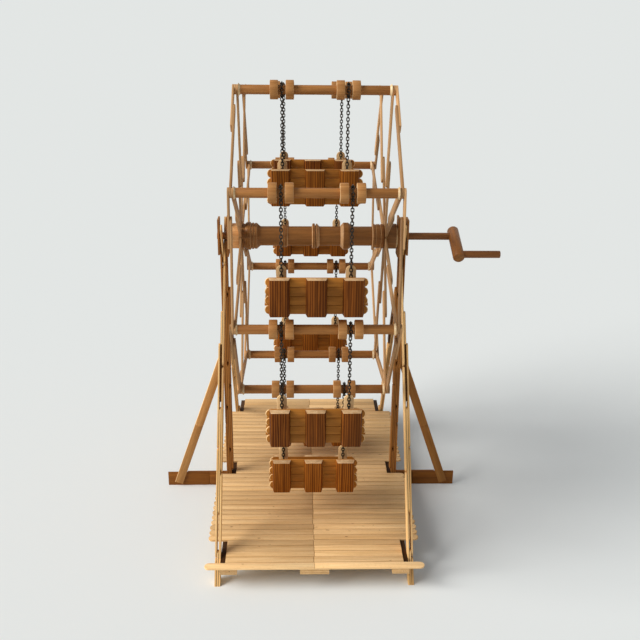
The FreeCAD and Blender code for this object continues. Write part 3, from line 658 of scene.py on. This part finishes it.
# Softwood, planed and stained: upright dark stripes 2.4 mm apart, in three depths of the same stain.
batten_woods = [
    wood(name, pale, deep, rings=0.9, pores=0.3, rough=0.6, gloss=0.1)
    for name, pale, deep in (("striped_batten_dark", "#98581E", "#62360C"),
                             ("striped_batten_middle", "#AE6A22", "#7C480E"),
                             ("striped_batten_light", "#B87026", "#8C5012"))]
# Softwood end grain, sawn and left bare: pale, rough and dry.
batten_end = wood("bare_batten_end", "#E8C89C", "#C49A6C", spread=0.8, pores=0.8, rough=0.85, bump=0.6)
for number, at in enumerate(rung_at, 1):
    rng = random.Random(50 + number)
    batch = new_batch()
    for x in (-batten_side, 0, batten_side):
        for y, way, high in ((wall_at - stick_thick, -1, 4 * seat_rise), (apron_at, 1, apron_high)):
            block = bmesh.new()
            corners = ((-batten_foot, 0), (batten_foot, 0), (batten_face, batten_deep),
                       (-batten_face, batten_deep))
            face = block.faces.new([block.verts.new((0, *corner)) for corner in corners])
            raised = bmesh.ops.extrude_face_region(block, geom=[face])["geom"]
            raised = [v for v in raised if isinstance(v, bmesh.types.BMVert)]
            bmesh.ops.translate(block, verts=raised, vec=(high, 0, 0))
            bmesh.ops.recalc_face_normals(block, faces=block.faces)
            bmesh.ops.bevel(block, geom=block.edges, offset=0.3, segments=2, profile=0.5, affect="EDGES",
                            material=-1)
            gather(batch, block, lay(at + Vector((x, y, seat_low)), (0, 0, 1), (0, way, 0)), rng,
                   lambda face: 1 if abs(face.normal.x) > 0.9 else 0)
    batten_wood = batten_woods[batten_shades[number - 1]]
    add_piece(f"seat_{number}_batten_blocks", batch, [batten_wood, batten_end], f"hanger_{number}",
              [f"seat_{number}_battens"])


# Chains: small blackened steel links. A closed ring of links goes round the rung on each side, and a
# strand hangs from it to the tab, where a pin holds its last link.
link_long, link_wide, wire_radius, link_pitch = 5.3, 3.9, 0.58, 3.25
ring_links, ring_radius, strand_links, strand_top, strand_at = 12, 6.5, 24, -9.4, -0.3
pin_start, pin_high = -1.6, -86.8
pin = [(0, 0), (0, 0.9), (0.4, 1.3), (0.8, 0.9), (0.8, 0.4), (3.4, 0.4), (3.4, 0)]


def link():
    """One oval link along z: round wire bent to a ring, and its two halves drawn apart."""
    part = bmesh.new()
    wire = Matrix.Translation((link_wide / 2 - wire_radius, 0, 0))
    bmesh.ops.create_circle(part, segments=5, radius=wire_radius,
                            matrix=Matrix.Rotation(math.radians(15), 4, "Y") @ wire)
    bmesh.ops.spin(part, geom=part.verts[:] + part.edges[:], axis=(0, 1, 0), cent=(0, 0, 0), steps=12,
                   angle=2 * math.pi, use_merge=True)
    bmesh.ops.remove_doubles(part, verts=part.verts, dist=1e-4)
    for way in (1, -1):
        half = [vert for vert in part.verts if way * vert.co.z > 0]
        bmesh.ops.translate(part, verts=half, vec=(0, 0, way * (link_long - link_wide) / 2))
    bmesh.ops.recalc_face_normals(part, faces=part.faces)
    return part


# Blackened steel wire: small dull highlights, with brown wear in patches about 2.4 mm across.
chain_steel = bpy.data.materials.new("blackened_steel_links")
chain_steel.use_nodes = True
tree = chain_steel.node_tree
shader = tree.nodes["Principled BSDF"]
place = add_node(tree, "ShaderNodeTexCoord").outputs["Object"]
patches = add_node(tree, "ShaderNodeTexNoise", [("Vector", place), ("Scale", 420.0), ("Detail", 3.0)])
colour = add_node(tree, "ShaderNodeValToRGB", [(0, patches.outputs["Fac"])],
                  stops=((0.45, paint("#26231F")), (0.7, paint("#5A4C3E"))))
tree.links.new(colour.outputs[0], shader.inputs["Base Color"])
dull = add_node(tree, "ShaderNodeMapRange", [(0, patches.outputs["Fac"]), (3, 0.32), (4, 0.62)])
tree.links.new(dull.outputs[0], shader.inputs["Roughness"])
shader.inputs["Metallic"].default_value = 0.85
for number, at in enumerate(rung_at, 1):
    rng = random.Random(70 + number)
    batch = new_batch()
    for x in (-tab_side, tab_side):
        for k in range(ring_links):
            turn = Matrix.Rotation(2 * math.pi * k / ring_links, 4, "X")
            twist = Matrix.Rotation(math.pi / 2 * (k % 2), 4, "Z")
            place = (Matrix.Translation(at + Vector((x, 0, 0))) @ turn
                     @ Matrix.Translation((0, ring_radius, 0)) @ twist)
            gather(batch, link(), place, rng)
        for k in range(strand_links):
            twist = Matrix.Rotation(math.pi / 2 * (k % 2) + rng.uniform(-0.3, 0.3), 4, "Z")
            place = Matrix.Translation(at + Vector((x, strand_at, strand_top - link_pitch * k))) @ twist
            gather(batch, link(), place, rng)
        gather(batch, turned(pin, 10), lay(at + Vector((x, pin_start, pin_high)), (0, 1, 0), (0, 0, 1)), rng)
    add_piece(f"seat_{number}_chain_links", batch, [chain_steel], f"hanger_{number}",
              [f"seat_{number}_chains", f"seat_{number}_loops"])
